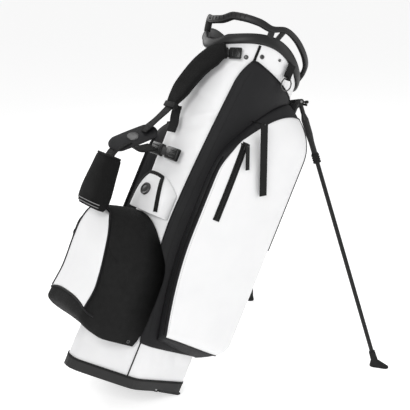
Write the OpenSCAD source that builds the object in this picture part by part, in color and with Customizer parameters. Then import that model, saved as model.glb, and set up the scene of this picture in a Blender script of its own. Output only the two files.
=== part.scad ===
// Golf stand bag, standing on its foot plate and two open legs.
// Row frame: +Z up, ground at z = 0, +X the way the bag leans, origin on the ground under the
// foot plate's ground face. Bag frame: u towards the legs, v across, w up the bag's axis.

/* [Posture] */
// Lean of the bag from upright, in degrees
lean = 27; // [24:1:30]
// Height of the base centre above the ground
base_rise = 40.5; // [38:0.5:42]

/* [Bag body] */
// Half depth of the body tube
body_a = 128; // [120:1:134]
// Half width of the body tube
body_b = 121; // [115:1:126]
// Flat of the body under the legs
spine_u = 107; // [104:1:109]
// Thickness of the body wall
wall = 3; // [2:0.5:4]
// Mean height of the collar rim
rim_h = 823; // [810:1:836]
// Height of the collar band
collar_h = 26; // [20:1:32]

/* [Base] */
// Leg-side edge of the base
base_front = 98; // [96:1:99]
// Height of the base cup at its middle
cup_h = 27; // [24:1:30]
// Slope of the base cup's rim, rising to the leg side
base_tilt = 5; // [3:0.5:7]
// Hinge of the foot plate, along u
plate_hinge_u = 24; // [20:1:28]
// Hinge of the foot plate, along w
plate_hinge_w = 9; // [8:0.5:10]

/* [Legs] */
// Leg pivot along u
pivot_u = 127; // [125:1:130]
// Leg pivot from the middle plane
pivot_v = 82.7; // [80:0.1:86]
// Leg pivot along w
pivot_w = 787; // [784:1:790]
// Foot on the ground, ahead of the base centre
foot_x = 600; // [585:1:615]
// Foot on the ground, from the middle plane
foot_y = 270.7; // [262:0.1:280]
// Outer radius of the leg tube
tube_r = 5.5; // [5:0.1:6]
// Length of the push lug on each leg head
lug_r = 18; // [17:0.5:19]

/* [Pockets] */
// Depth of the side pockets
pocket_depth = 48; // [40:1:56]
// Reach of the ball pocket from the axis
ball_reach = 262; // [240:1:280]

/* [Straps] */
// Width of the webbing
web_w = 38; // [25:1:40]
// Thickness of the webbing
web_t = 2.4; // [1.6:0.1:3]

/* [Hidden] */

facet_u = base_front - 1;
facet_end = base_front + 5.5;
foot_u = foot_x * cos(lean) + base_rise * sin(lean);
foot_w = foot_x * sin(lean) - base_rise * cos(lean);
leg_run = norm([foot_u - pivot_u, foot_y - pivot_v]);
leg_drop = pivot_w - foot_w;
leg_len = norm([leg_run, leg_drop]);
splay = atan2(foot_y - pivot_v, foot_u - pivot_u);
open_angle = atan2(leg_run, leg_drop);
pin_r = 3;
running = 0.05;
ear_gap = 8.4;
ear_t = 4;
tip_r = 4;
rod_r = 2.5;
rod_foot = [105, 0, 20];
rod_head = [121.5, 0, 765];
rod_len = norm(rod_head - rod_foot);
rod_tilt = atan2(rod_head[0] - rod_foot[0], rod_head[2] - rod_foot[2]);
bar_r = 3;
tip_reach = lug_r * cos(open_angle / 2);
bar_u = pivot_u + tip_reach * cos(splay);
bar_w = pivot_w + lug_r * sin(open_angle / 2) - tip_r - 0.3 - bar_r;
origin_x = (facet_u + facet_end) / 2 * cos(lean)
    + ground_w((facet_u + facet_end) / 2) * sin(lean);
black = [0.05, 0.05, 0.055];
panel_black = [0.11, 0.11, 0.12];
white = [0.93, 0.93, 0.93];
metal = [0.45, 0.45, 0.47];

// ---- shared functions ----

// Height along the bag's axis at which the ground plane lies, for a given u
function ground_w(u) = (u * sin(lean) - base_rise) / cos(lean);
function mix(a, b, t) = a + (b - a) * t;
function clamp01(t) = min(1, max(0, t));
function smooth(t) = clamp01(t) * clamp01(t) * (3 - 2 * clamp01(t));
function polar(r, a, w) = [r * cos(a), r * sin(a), w];
// A bump that is 0 at both ends and 1 in the middle, flatter as p grows
function crown(t, p) = 1 - pow(abs(2 * t - 1), p);
function facing(a, nx, ny, d) = max(0, (cos(a) * nx + sin(a) * ny) / d);

// Five-sided base with rounded corners, as a radius for each angle
function base_r(a) = pow(
    pow(facing(a, 1, 0, base_front), 26)
    + pow(facing(a, 0.0645, 0.9979, 114.1), 26)
    + pow(facing(a, 0.0645, -0.9979, 114.1), 26)
    + pow(facing(a, -0.6356, 0.7720, 121.9), 26)
    + pow(facing(a, -0.6356, -0.7720, 121.9), 26)
    + pow(facing(a, -1, 0, 167), 26), -1 / 26);
// Oval body with a flat on the leg side
function oval_r(a) = pow(
    pow(norm([cos(a) / body_a, sin(a) / body_b]), 22)
    + pow(max(0, cos(a) / spine_u), 22), -1 / 22);
function body_r(a, w) = mix(base_r(a), oval_r(a), smooth((w - 70) / 300));
// Oval collar, wider than the body and with no flat
function collar_r(a) = 1 / norm([cos(a) / (body_a + 6), sin(a) / (body_b + 4)]);
// Wavy rim, high at the two sides and on the strap side
function rim_w(a) = rim_h - 13 * cos(a) + 43 * pow(sin(a), 2) - 24 * pow(sin(a), 2) * cos(a)
    + 12 * smooth(pow(sin(a), 2) / 0.12) + 9 * pow(max(0, cos(a)), 6);

// ---- shared modules ----

// Places bag-frame shapes in the row frame
module on_bag() {
    translate([-origin_x, 0, base_rise])
        rotate([0, lean, 0])
            children();
}

// A closed ring between two skins; each skin is a function of turn and height, 0 to 1
module sleeve(na, nt, inner, outer) {
    ring = na * (nt + 1);
    pts = [
        for (skin = [outer, inner], j = [0:nt], i = [0:na - 1]) skin(i / na, j / nt)
    ];
    function at(k, i, j) = k * ring + j * na + i % na;
    sides = [
        for (j = [0:nt - 1], i = [0:na - 1]) each [
            [at(0, i, j), at(0, i, j + 1), at(0, i + 1, j)],
            [at(0, i + 1, j), at(0, i, j + 1), at(0, i + 1, j + 1)],
            [at(1, i, j), at(1, i + 1, j), at(1, i, j + 1)],
            [at(1, i + 1, j), at(1, i + 1, j + 1), at(1, i, j + 1)],
        ]
    ];
    ends = [
        for (i = [0:na - 1]) each [
            [at(0, i, 0), at(0, i + 1, 0), at(1, i, 0)],
            [at(1, i, 0), at(0, i + 1, 0), at(1, i + 1, 0)],
            [at(0, i, nt), at(1, i, nt), at(0, i + 1, nt)],
            [at(0, i + 1, nt), at(1, i, nt), at(1, i + 1, nt)],
        ]
    ];
    polyhedron(pts, concat(sides, ends));
}

// A closed pad between two skins that end on four edges
module pad(ns, nt, inner, outer) {
    row = ns + 1;
    skin_n = row * (nt + 1);
    pts = [
        for (skin = [outer, inner], j = [0:nt], i = [0:ns]) skin(i / ns, j / nt)
    ];
    function at(k, i, j) = k * skin_n + j * row + i;
    skins = [
        for (j = [0:nt - 1], i = [0:ns - 1]) each [
            [at(0, i, j), at(0, i, j + 1), at(0, i + 1, j)],
            [at(0, i + 1, j), at(0, i, j + 1), at(0, i + 1, j + 1)],
            [at(1, i, j), at(1, i + 1, j), at(1, i, j + 1)],
            [at(1, i + 1, j), at(1, i + 1, j + 1), at(1, i, j + 1)],
        ]
    ];
    low_high = [
        for (i = [0:ns - 1]) each [
            [at(0, i, 0), at(0, i + 1, 0), at(1, i, 0)],
            [at(1, i, 0), at(0, i + 1, 0), at(1, i + 1, 0)],
            [at(0, i, nt), at(1, i, nt), at(0, i + 1, nt)],
            [at(0, i + 1, nt), at(1, i, nt), at(1, i + 1, nt)],
        ]
    ];
    left_right = [
        for (j = [0:nt - 1]) each [
            [at(0, 0, j), at(1, 0, j), at(0, 0, j + 1)],
            [at(0, 0, j + 1), at(1, 0, j), at(1, 0, j + 1)],
            [at(0, ns, j), at(0, ns, j + 1), at(1, ns, j)],
            [at(0, ns, j + 1), at(1, ns, j + 1), at(1, ns, j)],
        ]
    ];
    polyhedron(pts, concat(skins, low_high, left_right));
}

// A bar of 8 sides swept along path(t), squashed to rad(t) = [across, along the axis w]
module bar_along(n, path, rad) {
    sides = 8;
    pts = [
        for (i = [0:n], k = [0:sides - 1])
            let (p = path(i / n),
                d = path(min(1, i / n + 0.02)) - path(max(0, i / n - 0.02)),
                f = d / norm(d),
                x = cross(f, [p[0], p[1], 0]) / norm(cross(f, [p[0], p[1], 0])),
                y = cross(x, f),
                r = rad(i / n))
            p + x * r[1] * cos(k * 360 / sides) + y * r[0] * sin(k * 360 / sides)
    ];
    tube = [
        for (i = [0:n - 1], k = [0:sides - 1])
            let (a = i * sides + k, b = i * sides + (k + 1) % sides)
            each [[a, b, a + sides], [b, b + sides, a + sides]]
    ];
    start = [for (k = [sides - 1:-1:0]) k];
    finish = [for (k = [0:sides - 1]) n * sides + k];
    polyhedron(pts, concat(tube, [start, finish]));
}

// Flat outline of the base, grown by d
module base_outline(d) {
    polygon([for (i = [0:71]) let (a = i * 5) polar(base_r(a) + d, a, 0) * [[1, 0], [0, 1], [0, 0]]]);
}

// Everything between two planes that slope with the base cup's rim
module between_tilt(lo, hi) {
    translate([0, 0, lo])
        rotate([0, -base_tilt, 0])
            translate([-400, -200, 0])
                cube([800, 400, (hi - lo) * cos(base_tilt)]);
}

// ---- top of the bag ----

module collar_ring() {
    on_bag() color(black) sleeve(72, 2,
        function(s, t) polar(collar_r(s * 360) - 10, s * 360,
            rim_w(s * 360) - collar_h * (1 - t)),
        function(s, t) polar(collar_r(s * 360) + 1.5 * crown(t, 2), s * 360,
            rim_w(s * 360) - collar_h * (1 - t)));
}

// Height of the handle above the rim along its run, 0 at the strap end and 1 at the leg end
handle_knots = [2, 34, 46, 48, 42, 30, 19, 29, 30, 30, 31, 30, 20, 2];
handle_turn = [154, 161, 174, 191, 208, 226, 241, 255, 270, 285, 300, 315, 328, 338];
// A smooth curve through the listed values, for t from 0 to 1
function knot(list, t) =
    let (last = len(list) - 1,
        i = min(last - 1, floor(t * last)),
        f = t * last - i,
        p0 = list[max(0, i - 1)], p1 = list[i], p2 = list[i + 1], p3 = list[min(last, i + 2)])
    p1 + 0.5 * f * (p2 - p0 + f * (2 * p0 - 5 * p1 + 4 * p2 - p3 + f * (3 * (p1 - p2) + p3 - p0)));
function handle_path(t) =
    let (a = knot(handle_turn, t), h = knot(handle_knots, t))
    polar(collar_r(a) - 5 + h * 0.22, a, rim_w(a) - 4 + h);

module handle_arch() {
    on_bag() color(black) {
        bar_along(44, function(t) handle_path(t),
            function(t) [8.5 - 2 * smooth((t - 0.4) * 8), 6.5 - 1 * smooth((t - 0.4) * 8)]);
        bar_along(3, function(t) mix(handle_path(0.48), polar(collar_r(241) - 5, 243,
                rim_w(241) - 6), t),
            function(t) [6, 7]);
        bar_along(3, function(t) mix(handle_path(0.545), polar(collar_r(251) - 5, 251,
                rim_w(251) - 6), t),
            function(t) [4, 5]);
    }
}

module club_divider() {
    bar_t = 7;
    bar_h = 28;
    top_w = rim_h - 46;
    on_bag() color(panel_black) intersection() {
        translate([0, 0, top_w - bar_h])
            linear_extrude(bar_h)
                polygon([for (i = [0:71]) let (a = i * 5) [
                    (oval_r(a) - wall - 0.6) * cos(a), (oval_r(a) - wall - 0.6) * sin(a)]]);
        union() {
            translate([-200, -bar_t / 2, top_w - bar_h])
                cube([400, bar_t, bar_h]);
            for (u = [-46, 40])
                translate([u - bar_t / 2, -200, top_w - bar_h])
                    cube([bar_t, 400, bar_h]);
            translate([0, 0, top_w - bar_h])
                difference() {
                    linear_extrude(bar_h)
                        circle(r = 140, $fn = 72);
                    translate([0, 0, -1])
                        linear_extrude(bar_h + 2)
                            polygon([for (i = [0:71]) let (a = i * 5) [
                                (oval_r(a) - wall - 6) * cos(a), (oval_r(a) - wall - 6) * sin(a)]]);
                }
        }
    }
}

module body_shell() {
    function low(a) = cup_h - 6.5 + tan(base_tilt) * base_r(a) * cos(a);
    function height(s, t) = mix(low(s * 360), rim_w(s * 360) - collar_h * 0.4, t);
    on_bag() color(white) sleeve(60, 8,
        function(s, t) polar(body_r(s * 360, height(s, t)) - wall, s * 360, height(s, t)),
        function(s, t) polar(body_r(s * 360, height(s, t)), s * 360, height(s, t)));
}

// ---- base and foot plate ----

module base_cup() {
    cut_u = plate_hinge_u - 10;
    on_bag() color(panel_black) difference() {
        union() {
            difference() {
                translate([0, 0, -20])
                    linear_extrude(cup_h + 40) base_outline(3);
                between_tilt(cup_h, 200);
                intersection() {
                    between_tilt(-60, 5);
                    translate([-300, -150, -60]) cube([300 + cut_u, 300, 100]);
                }
                intersection() {
                    between_tilt(10, 200);
                    translate([0, 0, -20]) linear_extrude(200) intersection() {
                        base_outline(0.3);
                        translate([-200, -150]) square([200 + cut_u - 4, 300]);
                    }
                }
                intersection() {
                    between_tilt(20, 200);
                    translate([0, 0, -20]) linear_extrude(200) base_outline(0.3);
                }
                translate([cut_u, -150, -30])
                    cube([200, 300, 42]);
                translate([cut_u, -99, -1])
                    cube([base_front - cut_u - 1, 198, 18]);
            }
            for (side = [-1, 1])
                translate([plate_hinge_u - 6, side > 0 ? 99 : -109, plate_hinge_w - 6])
                    cube([12, 10, 12]);
        }
        translate([plate_hinge_u, 0, plate_hinge_w])
            rotate([90, 0, 0])
                cylinder(r = pin_r, h = 300, center = true, $fn = 32);
    }
}

module base_piping() {
    on_bag() color(black) intersection() {
        translate([0, 0, -20])
            linear_extrude(90) difference() {
                base_outline(3.6);
                base_outline(0.3);
            }
        between_tilt(cup_h + 0.1, cup_h + 5.1);
    }
}

module foot_plate() {
    half = 96.5;
    wing = 104;
    top_u = facet_end;
    on_bag() color(black) difference() {
        union() {
            translate([plate_hinge_u, half, plate_hinge_w])
                rotate([90, 0, 0])
                    cylinder(r = 6.5, h = 2 * half, $fn = 40);
            for (w = [half, wing])
                rotate([90, 0, 0])
                    translate([0, 0, -w])
                        linear_extrude(2 * w)
                            polygon([
                                [w == half ? plate_hinge_u : plate_hinge_u + 14, 2.5],
                                [facet_u, ground_w(facet_u)],
                                [top_u, ground_w(top_u)],
                                [top_u, 11],
                                [facet_u, 10.5],
                                [w == half ? plate_hinge_u : plate_hinge_u + 14, 9],
                            ]);
            for (side = [-1, 1])
                translate([0, side * 7.6 + 2.4, 0])
                    rotate([90, 0, 0])
                        linear_extrude(4.8)
                            polygon([
                                [102, 9], [103.5, ground_w(103.5)], [111, 13],
                                [111.5, 22], [109, 26], [102.5, 26], [102, 22],
                            ]);
        }
        translate([plate_hinge_u, 0, plate_hinge_w])
            rotate([90, 0, 0])
                cylinder(r = pin_r + running, h = 300, center = true, $fn = 40);
        translate([rod_foot[0], 0, rod_foot[2]])
            rotate([90, 0, 0])
                cylinder(r = 3.4, h = 40, center = true, $fn = 32);
        translate([102.1, -5.2, 10.6])
            cube([20, 10.4, 30]);
    }
}

module foot_pin() {
    on_bag() color(metal)
        translate([plate_hinge_u, 0, plate_hinge_w])
            rotate([90, 0, 0])
                cylinder(r = pin_r, h = 217, center = true, $fn = 40);
}

// ---- push rod that opens the legs ----

module on_rod() {
    on_bag()
        translate(rod_foot)
            rotate([0, rod_tilt, 0])
                children();
}

module actuator_rod() {
    color(metal) {
        on_rod() translate([0, 0, 3]) cylinder(r = rod_r, h = rod_len - 3, $fn = 32);
        on_bag()
            translate(rod_foot) rotate([90, 0, 0]) {
                cylinder(r = 3.6, h = 9, center = true, $fn = 32);
                cylinder(r = 2.2, h = 21, center = true, $fn = 32);
            }
    }
}

module actuator_yoke() {
    reach = pivot_v + tip_reach * sin(splay) + 4;
    on_bag() color(panel_black) difference() {
        union() {
            translate([bar_u, 0, bar_w])
                rotate([90, 0, 0])
                    cylinder(r = bar_r, h = 2 * reach, center = true, $fn = 32);
            translate([rod_head[0], 0, rod_head[2] - 14])
                cylinder(r = 3.9, h = 36, $fn = 32);
            translate([rod_head[0], -5, bar_w - 3])
                cube([bar_u - rod_head[0], 10, 6]);
        }
        translate(rod_foot)
            rotate([0, rod_tilt, 0])
                cylinder(r = rod_r, h = rod_len, $fn = 32);
    }
}

// Channel over the rod, open towards the body
module spine_cover() {
    cover_lo = 66;
    cover_hi = 735;
    function rod_u(w) = rod_foot[0] + (w - rod_foot[2]) * tan(rod_tilt);
    on_bag() color(black) difference() {
        rotate([90, 0, 0])
            linear_extrude(36, center = true)
                polygon([
                    [spine_u + 0.6, cover_lo], [rod_u(cover_lo) + 6.2, cover_lo],
                    [rod_u(cover_hi) + 6.2, cover_hi], [spine_u + 0.6, cover_hi],
                ]);
        rotate([90, 0, 0])
            linear_extrude(9.2, center = true)
                polygon([
                    [spine_u - 5, cover_lo - 1], [rod_u(cover_lo - 1) + 3.8, cover_lo - 1],
                    [rod_u(cover_hi + 1) + 3.8, cover_hi + 1], [spine_u - 5, cover_hi + 1],
                ]);
    }
}

// ---- legs: side is -1 for the near leg and 1 for the far one ----

module at_pivot(side) {
    on_bag()
        translate([pivot_u, side * pivot_v, pivot_w])
            rotate([0, 0, side * splay])
                children();
}

// Leg frame: pivot at 0, hinge along y, leg down -z
module on_leg(side) {
    at_pivot(side)
        rotate([0, -open_angle, 0])
            children();
}

module leg_bracket() {
    plate_in = spine_u + 4.5;
    plate_out = spine_u + 9.5;
    plate_lo = pivot_w - 44;
    plate_hi = pivot_w - 9;
    color(panel_black) union() {
        on_bag()
            translate([plate_in, -pivot_v - 14, plate_lo])
                cube([plate_out - plate_in, 2 * pivot_v + 28, plate_hi - plate_lo]);
        for (side = [-1, 1])
            intersection() {
                at_pivot(side)
                    for (y = [-1, 1])
                        translate([0, y * (ear_gap + ear_t / 2), 0])
                            rotate([90, 0, 0])
                                linear_extrude(ear_t, center = true)
                                    difference() {
                                        union() {
                                            circle(r = 7, $fn = 40);
                                            polygon([[4.5, -5.3], [-5, 5], [-30, -9],
                                                [-30, -40], [-12, -40]]);
                                        }
                                        circle(r = pin_r, $fn = 40);
                                    }
                on_bag()
                    translate([plate_in, -200, plate_lo])
                        cube([100, 400, 200]);
            }
        on_bag()
            for (v = [-22, 22])
                translate([spine_u + 0.6, v - 8, plate_lo])
                    cube([4.4, 16, plate_hi - plate_lo]);
    }
}

module leg_pins() {
    color(metal)
        for (side = [-1, 1])
            at_pivot(side)
                rotate([90, 0, 0])
                    cylinder(r = pin_r, h = 2 * (ear_gap + ear_t) + 2, center = true, $fn = 40);
}

module leg_head(side) {
    color(black) on_leg(side) difference() {
        union() {
            rotate([90, 0, 0])
                cylinder(r = 6.8, h = 16, center = true, $fn = 40);
            translate([0, 0, -34])
                cylinder(r = 5.5, h = 34, $fn = 40);
            translate([0, 0, -46])
                cylinder(r1 = 9, r2 = 5.5, h = 14, $fn = 40);
            translate([0, 0, -84])
                cylinder(r = 9, h = 38, $fn = 40);
            translate([0, 0, -104])
                cylinder(r1 = 7.2, r2 = 9, h = 20, $fn = 40);
            translate([0, 0, -158])
                cylinder(r = 7.2, h = 54, $fn = 40);
            rotate([0, 90 + open_angle / 2, 0])
                cylinder(r = 2.5, h = lug_r, $fn = 32);
            rotate([0, 90 + open_angle / 2, 0])
                translate([0, 0, lug_r])
                    rotate([90, 0, 0])
                        cylinder(r = tip_r, h = 9, center = true, $fn = 32);
        }
        rotate([90, 0, 0])
            cylinder(r = pin_r + running, h = 40, center = true, $fn = 40);
        translate([0, 0, -160])
            cylinder(r = tube_r + running, h = 100, $fn = 40);
    }
}

module leg_tube(side) {
    color(panel_black) on_leg(side) difference() {
        translate([0, 0, -(leg_len - 12)])
            cylinder(r = tube_r, h = leg_len - 12 - 61, $fn = 40);
        translate([0, 0, -leg_len])
            cylinder(r = tube_r - 1.2, h = leg_len, $fn = 40);
    }
}

module leg_boot(side) {
    rib_n = 4;
    rib_step = 6;
    color(black) on_leg(side)
        translate([0, 0, -160])
            rotate_extrude($fn = 40)
                union() {
                    translate([7.25, 0]) square([1.3, rib_n * rib_step + 2]);
                    for (i = [0:rib_n - 1])
                        translate([7.3, 1 + i * rib_step]) square([2.8, 3.4]);
                }
}

module leg_foot(side) {
    heading = side * atan2(foot_y - pivot_v, foot_x - pivot_u * cos(lean) - pivot_w * sin(lean));
    color(black) difference() {
        union() {
            on_leg(side)
                translate([0, 0, -leg_len + 7])
                    cylinder(r1 = 9.5, r2 = 8, h = 36, $fn = 40);
            translate([foot_x - origin_x, side * foot_y, 0])
                rotate([0, 0, heading])
                    hull() {
                        translate([-6, 0, 0]) cylinder(r = 11, h = 3, $fn = 28);
                        translate([22, 0, 0]) cylinder(r = 10, h = 3, $fn = 28);
                        translate([-6, 0, 9]) cylinder(r = 8.5, h = 9, $fn = 28);
                    }
        }
        on_leg(side)
            translate([0, 0, -leg_len + 11.5])
                cylinder(r = tube_r + running, h = 60, $fn = 40);
        translate([foot_x - origin_x, side * foot_y, -30])
            cube([120, 120, 60], center = true);
    }
}

// ---- side pockets and panels ----

// Side pocket: s runs from the leg side round to the zip border, t from its bottom to its top
pocket_lo = 104;
pocket_hi = 765;
function pocket_top(s) = mix(pocket_hi, 600, pow(s, 2.2));
function pocket_w(s, t) = mix(mix(pocket_lo, pocket_lo + 25, s), pocket_top(s), t);
function pocket_a(s, t) = mix(41, 124 - 16 * pow(1 - clamp01(t / 0.55), 2)
    - 5 * pow(clamp01((t - 0.8) / 0.2), 2), s);
function box_r(a, face) = 1 / pow(pow(sin(a) / face, 8) + pow(abs(cos(a)) / 177, 8), 1 / 8);
function round_up(x, p) = 1 - pow(1 - clamp01(x), p);
function pocket_rise(s, t) = round_up((1 - t) / mix(0.19, 0.06, s), 2.3)
    * round_up(t / mix(0.1, 0.06, s), 2.6);
function pocket_out(s, t) =
    let (a = pocket_a(s, t), w = pocket_w(s, t),
        edge = round_up((1 - s) / 0.09, 2.4),
        face = body_b + pocket_depth * (0.68 + 0.24 * crown(t, 2) * crown(s, 2)))
    mix(body_r(a, w) + 9, box_r(a, face), pocket_rise(s, t) * mix(0.25, 1, edge));

module side_pocket(side) {
    on_bag() color(white) mirror([0, side > 0 ? 0 : 1, 0])
        pad(24, 22,
            function(s, t) polar(body_r(pocket_a(s, t), pocket_w(s, t)) + 4.6,
                pocket_a(s, t), pocket_w(s, t)),
            function(s, t) polar(pocket_out(s, t), pocket_a(s, t), pocket_w(s, t)));
}

// Black panel between the pocket and the strap side, running on under the pocket
function panel_edge(w) = 124 + 19.5 * round_up((w - 108) / 300, 1.8)
    - 9 * pow(max(0, (w - 400) / 350), 1.5) - 7.7 * pow(clamp01((w - 750) / 65), 2);
module side_panel(side) {
    panel_lo = 108;
    panel_hi = 815;
    function turn(s, t) = mix(42, panel_edge(mix(panel_lo, panel_hi, t)), s);
    function up(s, t) = let (a = turn(s, t))
        mix(panel_lo, min(781 + 0.573 * (a - 59.4), panel_hi), t);
    on_bag() color(panel_black) mirror([0, side > 0 ? 0 : 1, 0])
        pad(18, 16,
            function(s, t) polar(body_r(turn(s, t), up(s, t)) + 0.8, turn(s, t), up(s, t)),
            function(s, t) polar(body_r(turn(s, t), up(s, t)) + 4, turn(s, t), up(s, t)));
}

// Straight zip on the side pocket: a line down the bag's axis, zip_u ahead of it
zip_u = -44;
zip_top = 630;
zip_len = 192;
zip_v = 160;
// Share of the pocket's run and height at a given u and w
function zip_s(u) = (atan2(zip_v - 6, u) - 41) / 83;
function zip_t(s, w) = (w - pocket_lo - 25 * s) / (pocket_top(s) - pocket_lo - 25 * s);
function zip_skin(x, t, lift) =
    let (s = zip_s(zip_u + x), w = mix(zip_top - zip_len, zip_top, t), h = zip_t(s, w))
    [zip_u + x, pocket_out(s, h) * sin(pocket_a(s, h)) + lift, w];
module zip_tape(side) {
    on_bag() color(panel_black) mirror([0, side > 0 ? 0 : 1, 0])
        pad(2, 10,
            function(s, t) zip_skin(7.5 - 15 * s, t, 0.3),
            function(s, t) zip_skin(7.5 - 15 * s, t, 1.8));
}

slider_v = max([for (i = [0:10]) zip_skin(0, i / 10, 0)[1]]) + 3.2;
module zip_slider(side) {
    on_bag() color(metal) mirror([0, side > 0 ? 0 : 1, 0])
        translate([zip_u, slider_v, zip_top - 10]) {
            translate([-4, -0.6, -7]) cube([8, 3.2, 14]);
            translate([0, 3.6, 3]) rotate([90, 0, 0])
                cylinder(r = 1.4, h = 6, center = true, $fn = 24);
        }
}

module zip_pull(side) {
    on_bag() color(black) mirror([0, side > 0 ? 0 : 1, 0])
        translate([zip_u, slider_v + 3.3, zip_top - 7])
            rotate([0, -lean, 0])
                difference() {
                    translate([-5, 0.2, -56]) cube([10, 2.2, 60]);
                    rotate([90, 0, 0]) cylinder(r = 1.45, h = 20, center = true, $fn = 24);
                }
}

tag_u = -26;
tag_w = 684;
tag_v = body_b + pocket_depth + 2;
module tag_loop() {
    on_bag() color(metal)
        translate([tag_u, -tag_v, tag_w])
            rotate([90, 0, 0])
                translate([0, 0, -44])
                    cylinder(r = 1.5, h = 49, $fn = 24);
}

module ribbon_tag() {
    on_bag() color(black)
        translate([tag_u, -tag_v - 2.4, tag_w])
            rotate([0, -lean, 0])
                difference() {
                    translate([-10, -0.8, -170]) cube([20, 1.6, 175]);
                    rotate([90, 0, 0]) cylinder(r = 1.58, h = 20, center = true, $fn = 24);
                }
}

// ---- strap side ----

ball_lo = 98;
ball_hi = 392;
ball_half = 106;
function ball_w(s, t) = mix(mix(ball_lo, 94, pow(abs(2 * s - 1), 3)), mix(ball_hi, 300,
    pow(abs(2 * s - 1), 2.6)), t);
function ball_v(s, t) = (2 * s - 1) * ball_half * mix(0.93, 1, crown(t, 4));
function ball_back(s, t) =
    let (v = ball_v(s, t), w = ball_w(s, t), a = 180 - asin(clamp01(abs(v) / 128)))
    -body_r(a, w) * cos(180 - a) - 6;
// How far the front stands out at height t: a flat face over a fuller cup
function ball_front_u(t) = 228 + 11 * smooth((t - 0.4) * 1.7) + 12 * smooth((0.45 - t) * 2.6);
function ball_out(s, t) =
    let (k = abs(2 * s - 1))
    -mix(150, ball_front_u(t) * ball_reach / 262, pow(1 - pow(k, 14), 0.4)
        * round_up((1 - t) / 0.1, 2.4) * mix(0.35, 1, round_up(t / 0.14, 2.2)));

module ball_pocket() {
    on_bag() color(panel_black)
        pad(16, 14,
            function(s, t) [min(ball_back(1 - s, t), -66), ball_v(1 - s, t), ball_w(1 - s, t)],
            function(s, t) [ball_out(1 - s, t), ball_v(1 - s, t), ball_w(1 - s, t)]);
}

module ball_pocket_front() {
    function half(t) = mix(0.39, 0.3, pow(clamp01(t), 3));
    function across(s, t) = 0.5 + (2 * s - 1) * half(t);
    function up(t) = mix(0.22, 0.93, t);
    on_bag() color(white)
        pad(10, 12,
            function(s, t) let (k = across(1 - s, t), h = up(t))
                [ball_out(k, h) - 0.4, ball_v(k, h), ball_w(k, h)],
            function(s, t) let (k = across(1 - s, t), h = up(t))
                [ball_out(k, h) - 3.4, ball_v(k, h), ball_w(k, h)]);
}

module ball_pocket_rivets() {
    on_bag() color(metal)
        for (side = [-1, 1])
            translate([-102, side * (ball_half * 0.94 + 0.6), 104])
                rotate([side * -90, 0, 0])
                    difference() {
                        cylinder(r = 4.5, h = 1.6, $fn = 32);
                        translate([0, 0, -1]) cylinder(r = 2, h = 4, $fn = 32);
                    }
}

val_lo = 396;
val_hi = 492;
module valuables_pocket() {
    function turn(s) = mix(146, 214, s);
    function up(s, t) = mix(val_lo, val_hi - 36 * pow(abs(2 * s - 1), 2.4), t);
    on_bag() color(white)
        pad(10, 8,
            function(s, t) polar(body_r(turn(s), up(s, t)) + 0.6, turn(s), up(s, t)),
            function(s, t) polar(body_r(turn(s), up(s, t)) + 2 + 22 * pow(crown(s, 3), 0.6)
                * pow(clamp01(1 - pow(t, 3)), 0.6), turn(s), up(s, t)));
}

module valuables_zip() {
    half = 37;
    function arch(s) = let (k = s * 180) [half * cos(k), 404 + 62 * min(1, 2 * min(s, 1 - s))
        + 26 * sin(k)];
    function turn(v) = 180 + asin(v / 128);
    on_bag() color(black)
        pad(24, 1,
            function(s, t) let (q = arch(s), k = 1 + 0.22 * t, v = q[0] * k)
                polar(body_r(turn(v), q[1]) + 0.6, turn(v), q[1] + 7 * t),
            function(s, t) let (q = arch(s), k = 1 + 0.22 * t, v = q[0] * k)
                polar(body_r(turn(v), q[1]) + 26, turn(v), q[1] + 7 * t));
}

module pocket_badge() {
    on_bag() color(metal)
        translate([-158, 0, 452])
            rotate([0, -90, 0])
                cylinder(r = 15, h = 2.4, $fn = 48);
}

// ---- shoulder straps ----

// A flat strap from a to b, its width turned by roll about its own length
module flat_bar(a, b, width, thick, roll) {
    d = b - a;
    translate(a)
        rotate([0, acos(d[2] / norm(d)), atan2(d[1], d[0])])
            rotate([0, 0, roll])
                translate([-thick / 2, -width / 2, 0])
                    cube([thick, width, norm(d)]);
}

pad_top = [-136, -48, 800];
pad_mid = [-158, -8, 716];
pad_end = [-168, 0, 658];
hub_c = [-233, 0, 546];
hub_polar = 51;
hub_turn = 213;
hub_roll = 150;

module upper_shoulder_pad() {
    on_bag() color(black) difference() {
        hull() {
            flat_bar(pad_top, mix(pad_top, pad_mid, 0.15), 42, 8, 20);
            flat_bar(mix(pad_top, pad_mid, 0.75), mix(pad_mid, pad_end, 0.35), 60, 15, 0);
            flat_bar(mix(pad_mid, pad_end, 0.85), pad_end, 46, 9, 0);
        }
        translate([0, 0, 600])
            linear_extrude(260)
                polygon([for (i = [0:71]) let (a = i * 5) [
                    (oval_r(a) + 0.6) * cos(a), (oval_r(a) + 0.6) * sin(a)]]);
    }
}

module lower_shoulder_pad() {
    on_bag() color(black)
        hull()
            for (v = [-1, 1]) {
                translate([-268, v * 26, 362]) cylinder(r = 21, h = 4, $fn = 32);
                translate([-268, v * 28, 376]) cylinder(r = 24, h = 30, $fn = 32);
                translate([-274, v * 15, 484]) cylinder(r = 22, h = 4, $fn = 32);
            }
}

// Hub frame: z out of the plate's face, x along the plate
module at_hub() {
    on_bag()
        translate(hub_c)
            rotate([0, hub_polar, hub_turn])
                rotate([0, 0, hub_roll])
                    children();
}

module strap_hub() {
    at_hub() color(black)
        translate([0, 0, -6])
            linear_extrude(6)
                hull()
                    for (x = [-34, 34])
                        translate([x, 0]) circle(r = 27, $fn = 48);
}

module hub_disc() {
    at_hub() color(metal)
        translate([0, 0, 0.2])
            cylinder(r = 13, h = 2, $fn = 48);
}

module upper_webbing() {
    on_bag() color(black)
        flat_bar(pad_end + [-2, 0, -16], [-214, 0, 566], web_w * 0.8, web_t, 0);
}

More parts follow.
